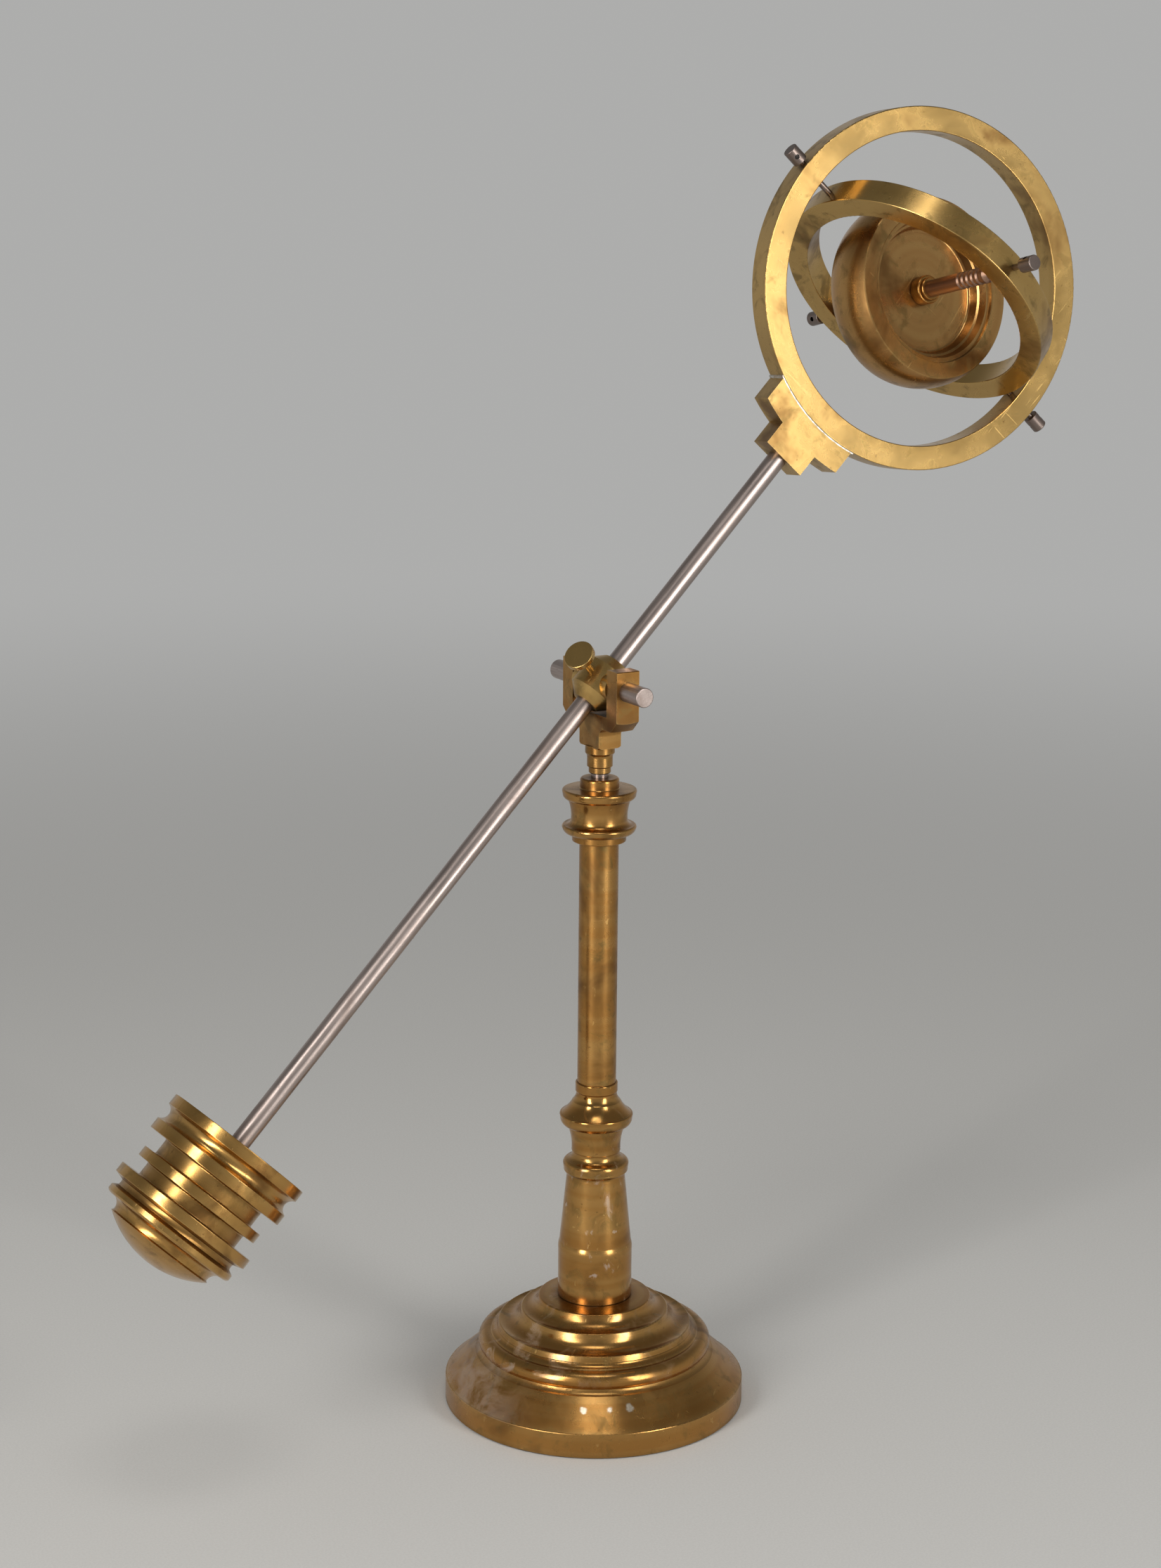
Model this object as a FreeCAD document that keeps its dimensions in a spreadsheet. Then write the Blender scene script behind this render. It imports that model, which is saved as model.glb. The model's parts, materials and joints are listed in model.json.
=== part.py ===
import FreeCAD, Part
import math
import os
import Sketcher

# A bench gyroscope: a turned brass stand, a swivelling fork, a balanced arm on trunnions,
# and a rotor in two gimbal rings at the arm's upper end.
# Millimetres. The origin is the centre of the base's underside, +Z is up, and +X is the
# level direction in which the arm rises. The arm and the outer ring's centre lie in the XZ plane.

SIZES = {
    # base flange
    "base_radius": 75.0,
    "rim_height": 12.7,
    "rim_edge": 0.6,
    "cone_height": 15.3,
    "seam_radius": 57.6,
    "seam_step": 0.4,
    "seam_cove": 2.4,
    # stepped moulding
    "torus_height": 7.8,
    "torus_top_radius": 52.2,
    "bead_step_radius": 49.4,
    "bead_step_height": 2.3,
    "lower_riser_radius": 48.0,
    "lower_riser_height": 3.1,
    "lower_cove_height": 4.5,
    "upper_riser_radius": 37.2,
    "upper_riser_height": 2.4,
    "upper_cove_height": 5.6,
    "crown_radius": 28.2,
    "crown_height": 1.4,
    "riser_edge": 0.6,
    "crown_edge": 0.8,
    # lower column
    "column_radius": 18.5,
    "column_cylinder": 26.0,
    "column_taper": 37.6,
    "column_waist_radius": 14.5,
    "ring_radius": 16.3,
    "ring_height": 8.0,
    "neck_radius": 12.2,
    "neck_height": 17.6,
    "flange_radius": 18.2,
    "flange_height": 6.7,
    "flare_height": 10.7,
    "flare_top_radius": 10.1,
    "collar_radius": 10.5,
    "collar_height": 5.2,
    "socket_depth": 8.0,
    "taper_ease_low": 2.0,
    "taper_ease_high": 3.0,
    "taper_drop": 0.6,
    "ring_cove": 1.4,
    "ring_round": 1.8,
    "ring_shoulder": 2.6,
    "ring_shoulder_depth": 1.7,
    "neck_lip": 2.4,
    "neck_cove": 4.8,
    "neck_flare": 1.2,
    "flange_land": 4.0,
    "flange_round": 4.2,
    "flange_edge": 0.9,
    "flare_knee_depth": 1.9,
    "flare_knee": 6.2,
    "collar_step": 0.7,
    # column shaft and capital
    "shaft_radius": 9.6,
    "shaft_length": 137.0,
    "capital_socket": 6.0,
    "cap_collar_radius": 13.2,
    "cap_collar_height": 3.8,
    "cap_flange_radius": 18.2,
    "cap_flange_height": 4.4,
    "cap_neck_radius": 13.5,
    "cap_neck_height": 12.8,
    "cap_top_height": 5.0,
    "cap_boss_radius": 9.5,
    "cap_boss_height": 5.5,
    "cap_round": 2.0,
    "cap_cove": 2.6,
    "cap_flare": 1.8,
    "cap_lip": 2.1,
    "cap_top_round": 2.6,
    "cap_rim_round": 1.1,
    "cap_boss_edge": 1.2,
    # tie rod, screwed into the base and into the capital
    "tie_radius": 4.0,
    "tie_foot": 8.0,
    "tie_edge": 0.6,
    "tie_end_gap": 2.0,
    # swivel and fork
    "pin_radius": 4.25,
    "pin_depth": 24.0,
    "pin_rise": 23.2,
    "pin_dome": 1.5,
    "pin_seat_cone": 1.0,
    "swivel_gap": 2.2,
    "fork_thickness": 12.4,
    "fork_width": 50.6,
    "fork_gap": 32.0,
    "fork_foot_width": 18.3,
    "fork_foot_height": 6.3,
    "fork_web_height": 4.4,
    "cheek_height": 29.7,
    "cheek_corner": 0.6,
    "pivot_to_cheek_top": 9.8,
    "crotch_radius": 14.8,
    "slot_floor": 2.0,
    "slot_fillet": 3.0,
    "foot_corner": 1.0,
    "neck_bite": 0.5,
    "neck_shoulder": 1.6,
    "neck_low_radius": 5.4,
    "neck_low_height": 3.2,
    "neck_mid_radius": 6.25,
    "neck_mid_height": 5.3,
    "neck_top_radius": 7.2,
    "neck_top_height": 4.9,
    # pivot block, trunnion pins and thumbscrew
    "block_radius": 12.0,
    "block_length": 24.4,
    "block_chamfer": 5.3,
    "block_boss_radius": 7.0,
    "trunnion_radius": 4.75,
    "trunnion_reach": 40.7,
    "trunnion_wall": 1.7,
    "thumb_head_radius": 7.4,
    "thumb_head_thickness": 3.0,
    "thumb_shank_radius": 1.7,
    "thumb_reach": 26.3,
    "thumb_turn": 20.0,
    # arm
    "rod_radius": 4.8,
    "arm_rise": 46.0,
    "head_roll": 7.2,
    "head_distance": 255.6,
    "rod_offset": 2.9,
    "rod_in_boss": 16.0,
    "rod_in_weight": 20.0,
    # counterweight
    "weight_distance": 277.1,
    "weight_radius": 37.2,
    "disc_height": 5.6,
    "disc_edge": 0.35,
    "groove_fillet": 0.8,
    "first_groove_edge": 35.8,
    "first_groove_land": 0.6,
    "first_groove_height": 7.8,
    "deep_groove_radius": 27.8,
    "deep_groove_height": 8.2,
    "short_groove_height": 6.97,
    "thin_disc_height": 5.04,
    "small_disc_radius": 33.6,
    "late_groove_radius": 32.4,
    "late_groove_height": 5.4,
    "late_groove_land": 1.3,
    "last_disc_radius": 35.0,
    "last_disc_height": 3.8,
    "last_disc_bevel": 1.2,
    "dome_groove_height": 5.8,
    "dome_radius": 27.8,
    "dome_height": 9.0,
    "dome_lip": 0.8,
    # gimbal rings
    "outer_ring_bore": 76.9,
    "outer_ring_wall": 11.9,
    "outer_ring_width": 13.6,
    "inner_ring_bore": 58.7,
    "inner_ring_wall": 11.4,
    "inner_ring_width": 13.4,
    "ring_edge": 0.5,
    "inner_ring_turn": 77.7,
    "gimbal_drop": 1.6,
    "gimbal_lean": 1.2,
    # boss on the outer ring
    "ear_wall": 12.8,
    "ear_half_width": 26.4,
    "boss_half_width": 12.3,
    "boss_rise": 24.2,
    "solder_gap": 0.7,
    "solder_inset": 0.1,
    "solder_overrun": 1.2,
    # capstan screws
    "screw_radius": 1.5,
    "screw_head_radius": 3.7,
    "screw_head_length": 8.3,
    "screw_head_hole": 1.25,
    "outer_screw_rise": 11.6,
    "inner_screw_rise": 14.6,
    "screw_point": 1.6,
    "centre_depth": 2.2,
    "screw_tip_radius": 0.5,
    "screw_edge": 0.4,
    # rotor
    "rotor_radius": 47.9,
    "rotor_edge_radius": 45.0,
    "rotor_half_width": 13.1,
    "rotor_edge": 0.4,
    "recess_radius": 36.8,
    "step_radius": 34.5,
    "dish_radius": 30.9,
    "web_half": 2.2,
    "web_flat": 1.0,
    "web_swell": 0.5,
    "web_fillet": 2.0,
    "shelf_width": 2.2,
    "shelf_depth": 5.6,
    "step_depth": 1.7,
    "hub_radius": 7.1,
    "hub_length": 6.2,
    "hub_edge": 0.8,
    "hub_collar": 1.0,
    "hub_collar_height": 1.6,
    "spindle_radius": 4.2,
    "spindle_end_gap": 5.5,
    "spindle_taper": 1.8,
    "spindle_taper_depth": 1.4,
    "groove_run": 20.2,
    "groove_pitch": 3.4,
    "groove_depth": 0.45,
    # broken edges
    "edge_break": 0.5,
    "fine_edge": 0.3,
    # clearances
    "running_gap": 0.05,
    "seat_gap": 0.02,
    "end_gap": 0.3,
}

GROOVES = 5

# How far a cutting tool stands past the face that it cuts
CLEAR = 1.0


class Size:
    """A length with its value and the sheet expression that gives it."""

    def __init__(self, value, text=None):
        self.value = float(value)
        self.text = text if text is not None else repr(float(value))

    def join(self, other, sign, value):
        return Size(value, "(%s %s %s)" % (self.text, sign, other.text))

    def __add__(self, other):
        other = size(other)
        return self.join(other, "+", self.value + other.value)

    def __sub__(self, other):
        other = size(other)
        return self.join(other, "-", self.value - other.value)

    def __mul__(self, other):
        other = size(other)
        return self.join(other, "*", self.value * other.value)

    def __truediv__(self, other):
        other = size(other)
        return self.join(other, "/", self.value / other.value)

    def __neg__(self):
        return size(0) - self

    __radd__ = __add__
    __rmul__ = __mul__

    def __rsub__(self, other):
        return size(other) - self


def size(number):
    return number if isinstance(number, Size) else Size(number)


def root(number):
    return Size(math.sqrt(number.value), "sqrt(%s)" % number.text)


doc = FreeCAD.newDocument("GyroscopeOnStand")
sheet = doc.addObject("Spreadsheet::Sheet", "Sizes")
for row, (name, number) in enumerate(SIZES.items(), start=1):
    sheet.set("A%d" % row, name)
    sheet.set("B%d" % row, str(number))
    sheet.setAlias("B%d" % row, name)
doc.recompute()


class Named:
    """The sheet's values by name."""


S = Named()
for name in SIZES:
    setattr(S, name, Size(sheet.get(name), "Sizes." + name))

ZERO = Size(0)
nodes = {}


# Drawing helpers

def vector(point):
    return FreeCAD.Vector(point[0].value, point[1].value, 0)


def held(kind, geometry, position, length):
    """A constraint that holds one coordinate of a point, with the expression that drives it."""
    if length.value == 0:
        axis = -2 if kind == "DistanceX" else -1
        return Sketcher.Constraint("PointOnObject", geometry, position, axis), None
    return Sketcher.Constraint(kind, -1, 1, geometry, position, length.value), length.text


def pinned(geometry, position, point):
    return [
        held("DistanceX", geometry, position, point[0]),
        held("DistanceY", geometry, position, point[1]),
    ]


def arc_middle(start, end, bulge):
    """The middle of an arc whose rise is bulge times its chord, to the right of its travel."""
    across = (start[0] + end[0]) / 2 + (end[1] - start[1]) * bulge
    along = (start[1] + end[1]) / 2 - (end[0] - start[0]) * bulge
    return across, along


def arc_radius(start, end, bulge):
    across = end[0] - start[0]
    along = end[1] - start[1]
    chord = root(across * across + along * along)
    return chord * ((1 + 4 * bulge * bulge) / (8 * abs(bulge)))


def draw(sketch, path):
    """Draw a closed outline. A point's third item, if any, is the bulge of the arc that reaches it."""
    points = [(size(item[0]), size(item[1])) for item in path]
    bulges = [item[2] if len(item) > 2 else 0 for item in path]
    pieces = []
    rules = []
    for index, end in enumerate(points):
        start = points[index - 1]
        bulge = bulges[index]
        if bulge == 0:
            number = sketch.addGeometry(Part.LineSegment(vector(start), vector(end)), False)
            pieces.append((number, 1, 2))
            continue
        arc = Part.Arc(vector(start), vector(arc_middle(start, end, bulge)), vector(end))
        number = sketch.addGeometry(arc, False)
        begins = sketch.getPoint(number, 1).distanceToPoint(vector(start))
        ends = sketch.getPoint(number, 2).distanceToPoint(vector(start))
        pieces.append((number, 1, 2) if begins < ends else (number, 2, 1))
        radius = arc_radius(start, end, bulge)
        rules.append((Sketcher.Constraint("Radius", number, radius.value), radius.text))
    for index, (number, first, last) in enumerate(pieces):
        following, after, _ = pieces[(index + 1) % len(pieces)]
        rules.append((Sketcher.Constraint("Coincident", number, last, following, after), None))
        rules += pinned(number, last, points[index])
    sketch.addConstraint([rule for rule, _ in rules])
    for number, (_, text) in enumerate(rules):
        if text is not None:
            sketch.setExpression("Constraints[%d]" % number, text)


def reflected(path, across_sign, up_sign):
    """A stretch of outline mirrored and walked back, with each arc on its own stretch."""
    result = []
    for index in range(len(path) - 1, -1, -1):
        across, up = path[index][:2]
        bulge = path[index + 1][2:] if index + 1 < len(path) else ()
        result.append((across * across_sign, up * up_sign) + bulge)
    return result


def new_body(name):
    body = doc.addObject("PartDesign::Body", name)
    body.Label = name
    return body


def new_sketch(body, plane):
    sketch = body.newObject("Sketcher::SketchObject", body.Name + "_outline")
    origin = [item for item in body.Origin.OriginFeatures if item.Role == plane]
    sketch.AttachmentSupport = [(origin[0], "")]
    sketch.MapMode = "FlatFace"
    return sketch


def turned(name, path):
    """Turn a closed outline of (radius, height) points about the body's own Z axis."""
    body = new_body(name)
    sketch = new_sketch(body, "XZ_Plane")
    draw(sketch, path)
    turn = body.newObject("PartDesign::Revolution", name + "_turn")
    turn.Profile = sketch
    turn.ReferenceAxis = (sketch, ["V_Axis"])
    turn.Angle = 360
    body.Tip = turn
    doc.recompute()
    return body


def cylinder(name, radius, height, placement=None):
    item = doc.addObject("Part::Cylinder", name)
    item.setExpression("Radius", size(radius).text)
    item.setExpression("Height", size(height).text)
    if placement is not None:
        item.Placement = placement
    return item


def box(name, length, width, height, placement):
    item = doc.addObject("Part::Box", name)
    item.setExpression("Length", size(length).text)
    item.setExpression("Width", size(width).text)
    item.setExpression("Height", size(height).text)
    item.Placement = placement
    return item


def combine(kind, name, first, second):
    item = doc.addObject("Part::" + kind, name)
    item.Base = first
    item.Tool = second
    doc.recompute()
    return item


def cut(name, base, *tools):
    for index, tool in enumerate(tools):
        label = name if index == len(tools) - 1 else "%s_cut_%d" % (name, index)
        base = combine("Cut", label, base, tool)
    return base


def fuse(name, base, *others):
    for index, other in enumerate(others):
        label = name if index == len(others) - 1 else "%s_fuse_%d" % (name, index)
        base = combine("Fuse", label, base, other)
    return base


def keep(name, item, placement=None):
    """Name a finished piece and set it in its place."""
    item.Label = name
    if placement is not None:
        item.Placement = placement
    nodes[name] = item


def shift(x=0, y=0, z=0):
    numbers = [size(number).value for number in (x, y, z)]
    return FreeCAD.Placement(FreeCAD.Vector(*numbers), FreeCAD.Rotation())


def turn_about(axis, degrees):
    angle = size(degrees).value
    return FreeCAD.Placement(FreeCAD.Vector(), FreeCAD.Rotation(FreeCAD.Vector(*axis), angle))


X_AXIS = (1, 0, 0)
Y_AXIS = (0, 1, 0)
Z_AXIS = (0, 0, 1)

# Bulges: a quarter round, a soft one, and their hollow opposites
QUARTER = 0.207
SOFT = 0.11

# Bulges of single arcs: the torus, two hollows and the last disc of the counterweight, the hub's collar
TORUS_BULGE = 0.34
FIRST_HOLLOW = 0.26
DOME_HOLLOW = 0.24
BEVEL_BULGE = 0.15
COLLAR_BULGE = 0.3

# The spindle's grooves: where the floor starts and ends and the flank ends, as shares of the pitch
FLOOR_START = 0.3
FLOOR_END = 0.5
FLANK_END = 0.8


# Heights up the stand

seam_z = S.rim_height + S.cone_height
torus_z = seam_z + S.torus_height
bead_z = torus_z + S.bead_step_height
lower_riser_z = bead_z + S.lower_riser_height
lower_cove_z = lower_riser_z + S.lower_cove_height
upper_riser_z = lower_cove_z + S.upper_riser_height
upper_cove_z = upper_riser_z + S.upper_cove_height
foot_z = upper_cove_z + S.crown_height
taper_z = foot_z + S.column_cylinder
waist_z = taper_z + S.column_taper
ring_z = waist_z + S.ring_height
neck_z = ring_z + S.neck_height
flange_z = neck_z + S.flange_height
flare_z = flange_z + S.flare_height
collar_z = flare_z + S.collar_height
shaft_z = collar_z - S.socket_depth
shaft_top_z = shaft_z + S.shaft_length
capital_z = shaft_top_z - S.capital_socket
cap_collar_z = capital_z + S.cap_collar_height
cap_flange_z = cap_collar_z + S.cap_flange_height
cap_neck_z = cap_flange_z + S.cap_neck_height
cap_top_z = cap_neck_z + S.cap_top_height
cap_boss_z = cap_top_z + S.cap_boss_height
fork_z = cap_boss_z + S.swivel_gap
foot_bottom_z = fork_z + S.neck_low_height + S.neck_mid_height + S.neck_top_height
cheek_z = foot_bottom_z + S.fork_foot_height + S.fork_web_height
cheek_top_z = cheek_z + S.cheek_height
pivot_z = cheek_top_z - S.pivot_to_cheek_top
tie_hole = S.tie_radius + S.end_gap

# Radii and reaches of the arm and the head

outer_ring_radius = S.outer_ring_bore + S.outer_ring_wall
inner_ring_radius = S.inner_ring_bore + S.inner_ring_wall
ear_radius = outer_ring_radius + S.ear_wall
boss_reach = outer_ring_radius + S.boss_rise
outer_screw_reach = outer_ring_radius + S.outer_screw_rise
inner_screw_reach = inner_ring_radius + S.inner_screw_rise
spindle_half = S.inner_ring_bore - S.spindle_end_gap
groove_start = spindle_half - S.groove_run
trunnion_root = S.rod_radius + S.trunnion_wall
boss_end = S.head_distance - boss_reach


# Stand

def make_base_flange():
    thread = S.tie_radius + S.seat_gap
    body = turned("base_flange", [
        (ZERO, ZERO),
        (S.base_radius - S.rim_edge, ZERO),
        (S.base_radius, S.rim_edge),
        (S.base_radius, S.rim_height - S.rim_edge),
        (S.base_radius - S.rim_edge, S.rim_height, QUARTER),
        (S.seam_radius + S.seam_cove, seam_z - S.seam_cove),
        (S.seam_radius - S.seam_step, seam_z, -SOFT),
        (thread, seam_z),
        (thread, S.tie_foot - S.end_gap),
        (ZERO, S.tie_foot - S.end_gap),
    ])
    keep("base_flange", body)


def make_base_moulding():
    body = turned("base_moulding", [
        (tie_hole, seam_z),
        (S.seam_radius - S.seam_step, seam_z),
        (S.seam_radius, seam_z + S.seam_step),
        (S.torus_top_radius, torus_z, TORUS_BULGE),
        (S.torus_top_radius - S.edge_break, torus_z + S.edge_break),
        (S.bead_step_radius, bead_z, -SOFT),
        (S.bead_step_radius - S.fine_edge, bead_z + S.fine_edge),
        (S.lower_riser_radius + S.fine_edge, lower_riser_z - S.riser_edge),
        (S.lower_riser_radius - S.fine_edge, lower_riser_z, QUARTER),
        (S.upper_riser_radius + S.fine_edge, lower_cove_z, -QUARTER),
        (S.upper_riser_radius - S.fine_edge, upper_riser_z - S.riser_edge),
        (S.upper_riser_radius - 2 * S.riser_edge, upper_riser_z, QUARTER),
        (S.crown_radius, upper_cove_z, -QUARTER),
        (S.crown_radius - S.crown_edge, upper_cove_z + S.crown_edge, QUARTER),
        (S.column_radius + S.crown_edge, foot_z),
        (tie_hole, foot_z),
    ])
    keep("base_moulding", body)


def make_lower_column():
    body = turned("lower_column", [
        (tie_hole, foot_z),
        (S.column_radius - S.fine_edge, foot_z),
        (S.column_radius, foot_z + S.fine_edge),
        (S.column_radius, taper_z - S.taper_ease_low),
        (S.column_radius - S.taper_drop, taper_z + S.taper_ease_high, SOFT / 2),
        (S.column_waist_radius, waist_z),
        (S.column_waist_radius + S.fine_edge, waist_z + S.ring_cove, -SOFT),
        (S.ring_radius - S.fine_edge, waist_z + S.ring_cove + S.ring_round, QUARTER),
        (S.ring_radius, ring_z - S.ring_shoulder),
        (S.ring_radius - S.ring_shoulder_depth, ring_z, QUARTER),
        (S.ring_radius - S.neck_lip, ring_z + S.fine_edge),
        (S.neck_radius, ring_z + S.neck_cove, -QUARTER),
        (S.flange_radius - S.flange_land - S.fine_edge, neck_z - S.neck_flare, -SOFT / 2),
        (S.flange_radius - S.flange_land, neck_z),
        (S.flange_radius - S.fine_edge, neck_z + S.flange_round, QUARTER),
        (S.flange_radius, flange_z - S.flange_edge),
        (S.flange_radius - S.flange_edge, flange_z, QUARTER),
        (S.flare_top_radius + S.flare_knee_depth, flange_z + S.flare_knee, -SOFT / 2),
        (S.flare_top_radius, flare_z, -SOFT),
        (S.collar_radius, flare_z + S.collar_step),
        (S.collar_radius, collar_z - S.edge_break),
        (S.collar_radius - S.edge_break, collar_z, QUARTER),
        (S.shaft_radius + S.seat_gap, collar_z),
        (S.shaft_radius + S.seat_gap, shaft_z),
        (tie_hole, shaft_z),
    ])
    keep("lower_column", body)


def make_column_shaft():
    body = turned("column_shaft", [
        (tie_hole, shaft_z),
        (S.shaft_radius, shaft_z),
        (S.shaft_radius, shaft_top_z),
        (tie_hole, shaft_top_z),
    ])
    keep("column_shaft", body)


def make_capital():
    pin_seat_z = cap_boss_z - S.pin_depth
    body = turned("capital", [
        (S.shaft_radius + S.seat_gap, capital_z),
        (S.cap_collar_radius - S.edge_break, capital_z),
        (S.cap_collar_radius, capital_z + S.edge_break, QUARTER),
        (S.cap_collar_radius, cap_collar_z),
        (S.cap_flange_radius - S.fine_edge, cap_flange_z - S.cap_round, QUARTER),
        (S.cap_flange_radius, cap_flange_z - S.cap_rim_round),
        (S.cap_flange_radius - S.cap_rim_round, cap_flange_z, QUARTER),
        (S.cap_neck_radius + S.fine_edge, cap_flange_z + S.cap_cove, -QUARTER),
        (S.cap_neck_radius + S.cap_flare, cap_neck_z - S.fine_edge, -SOFT / 2),
        (S.cap_neck_radius + S.cap_lip, cap_neck_z),
        (S.cap_flange_radius - S.fine_edge, cap_top_z - S.cap_top_round, QUARTER),
        (S.cap_flange_radius, cap_top_z - S.cap_rim_round),
        (S.cap_flange_radius - S.cap_rim_round, cap_top_z, QUARTER),
        (S.cap_boss_radius + S.fine_edge, cap_top_z + S.fine_edge),
        (S.cap_boss_radius, cap_top_z + 2 * S.fine_edge),
        (S.cap_boss_radius, cap_boss_z - S.cap_boss_edge),
        (S.cap_boss_radius - S.cap_boss_edge, cap_boss_z, QUARTER),
        (S.pin_radius + S.seat_gap, cap_boss_z),
        (S.pin_radius + S.seat_gap, pin_seat_z),
        (S.tie_radius + S.seat_gap, pin_seat_z - S.pin_seat_cone),
        (S.tie_radius + S.seat_gap, shaft_top_z),
        (S.shaft_radius + S.seat_gap, shaft_top_z),
    ])
    keep("capital", body)


def make_tie_rod():
    top_z = cap_boss_z - S.pin_depth - S.tie_end_gap
    body = turned("tie_rod", [
        (ZERO, S.tie_foot),
        (S.tie_radius - S.tie_edge, S.tie_foot),
        (S.tie_radius, S.tie_foot + S.tie_edge),
        (S.tie_radius, top_z - S.tie_edge),
        (S.tie_radius - S.tie_edge, top_z),
        (ZERO, top_z),
    ])
    keep("tie_rod", body)


def make_swivel_pin():
    bottom_z = cap_boss_z - S.pin_depth
    top_z = cap_boss_z + S.pin_rise
    body = turned("swivel_pin", [
        (ZERO, bottom_z),
        (S.pin_radius - S.edge_break, bottom_z),
        (S.pin_radius, bottom_z + S.edge_break),
        (S.pin_radius, top_z - S.pin_dome),
        (S.pin_radius - S.pin_dome, top_z, QUARTER),
        (ZERO, top_z),
    ])
    keep("swivel_pin", body)


# Fork

def make_fork():
    """The fork: a flat plate cut to a Y, on a stepped round neck."""
    body = new_body("fork_plate")
    sketch = new_sketch(body, "YZ_Plane")
    foot = S.fork_foot_width / 2
    outer = S.fork_width / 2
    inner = S.fork_gap / 2
    web_z = foot_bottom_z + S.fork_foot_height
    crotch_z = pivot_z - S.crotch_radius + S.slot_floor
    half = [
        (foot, foot_bottom_z),
        (foot, web_z),
        (foot + S.fork_web_height, cheek_z, -QUARTER),
        (outer - S.cheek_corner, cheek_z),
        (outer, cheek_z + S.cheek_corner, QUARTER),
        (outer, cheek_top_z - S.cheek_corner),
        (outer - S.cheek_corner, cheek_top_z, QUARTER),
        (inner + S.cheek_corner, cheek_top_z),
        (inner, cheek_top_z - S.cheek_corner, QUARTER),
        (inner, crotch_z + S.slot_fillet),
        (inner - S.slot_fillet, crotch_z, -QUARTER),
    ]
    draw(sketch, half + reflected(half, -1, 1))
    pad = body.newObject("PartDesign::Pad", "fork_pad")
    pad.Profile = sketch
    pad.setExpression("Length", S.fork_thickness.text)
    pad.Midplane = True
    body.Tip = pad
    doc.recompute()

    step_z = fork_z + S.neck_low_height
    top_step_z = step_z + S.neck_mid_height
    neck = turned("fork_neck", [
        (ZERO, fork_z),
        (S.neck_low_radius - S.edge_break, fork_z),
        (S.neck_low_radius, fork_z + S.edge_break),
        (S.neck_low_radius, step_z - S.fine_edge),
        (S.neck_mid_radius - S.edge_break, step_z),
        (S.neck_mid_radius, step_z + S.edge_break, QUARTER),
        (S.neck_mid_radius, top_step_z - S.edge_break),
        (S.neck_top_radius, top_step_z + S.neck_shoulder, -SOFT),
        (S.neck_top_radius, foot_bottom_z + S.neck_bite),
        (ZERO, foot_bottom_z + S.neck_bite),
    ])
    whole = fuse("fork_whole", body, neck)

    # the foot's corners are turned off with a cone
    corner_radius = foot + S.foot_corner
    beyond = outer + S.fork_thickness
    shoulder = turned("fork_shoulder", [
        (ZERO, fork_z - CLEAR),
        (corner_radius, fork_z - CLEAR),
        (corner_radius, foot_bottom_z),
        (beyond, foot_bottom_z + beyond - corner_radius),
        (beyond, cheek_top_z + CLEAR),
        (ZERO, cheek_top_z + CLEAR),
    ])
    whole = combine("Common", "fork_trimmed", whole, shoulder)

    lying = turn_about(X_AXIS, 90)
    crotch = cylinder("fork_crotch", S.crotch_radius, S.fork_gap,
                      shift(y=inner, z=pivot_z) * lying)
    bores = cylinder("fork_bores", S.trunnion_radius + S.running_gap, S.fork_width + 2 * CLEAR,
                     shift(y=outer + CLEAR, z=pivot_z) * lying)
    socket = cylinder("fork_socket", S.pin_radius + S.running_gap,
                      S.pin_rise - S.swivel_gap + S.end_gap, shift(z=fork_z))
    keep("fork", cut("fork", whole, crotch, bores, socket))


# Frames of the arm and the head

def arm_frame():
    """Origin at the trunnions' axis. Z runs up the rod, X square to it upwards, Y to the near side."""
    rise = math.radians(S.arm_rise.value)
    along = FreeCAD.Vector(math.cos(rise), 0, math.sin(rise))
    upward = FreeCAD.Vector(-math.sin(rise), 0, math.cos(rise))
    near = FreeCAD.Vector(0, -1, 0)
    spin = FreeCAD.Rotation(upward, near, along, "XYZ")
    return FreeCAD.Placement(FreeCAD.Vector(0, 0, pivot_z.value), spin)


def head_frame():
    """Origin at the rings' centre. X runs up the rod, Y along the outer pivots, Z is the ring's axis."""
    rolled = arm_frame() * turn_about(Z_AXIS, -S.head_roll)
    centre = rolled * shift(x=-S.rod_offset, z=S.head_distance)
    turned_axes = [FreeCAD.Vector(*axis) for axis in (Z_AXIS, X_AXIS, Y_AXIS)]
    axes = FreeCAD.Rotation(*turned_axes, "XYZ")
    return centre * FreeCAD.Placement(FreeCAD.Vector(), axes)


def gimbal_frame():
    """The head's frame as the outer pivot screws are set: a little down their axis, leaning slightly."""
    return head_frame() * shift(y=-S.gimbal_drop) * turn_about(X_AXIS, S.gimbal_lean)


def inner_frame():
    """The inner ring's frame: X is the rotor's axis and Y the outer pivots' axis."""
    return gimbal_frame() * turn_about(Y_AXIS, -S.inner_ring_turn)


# Pivot block and its screws

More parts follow.
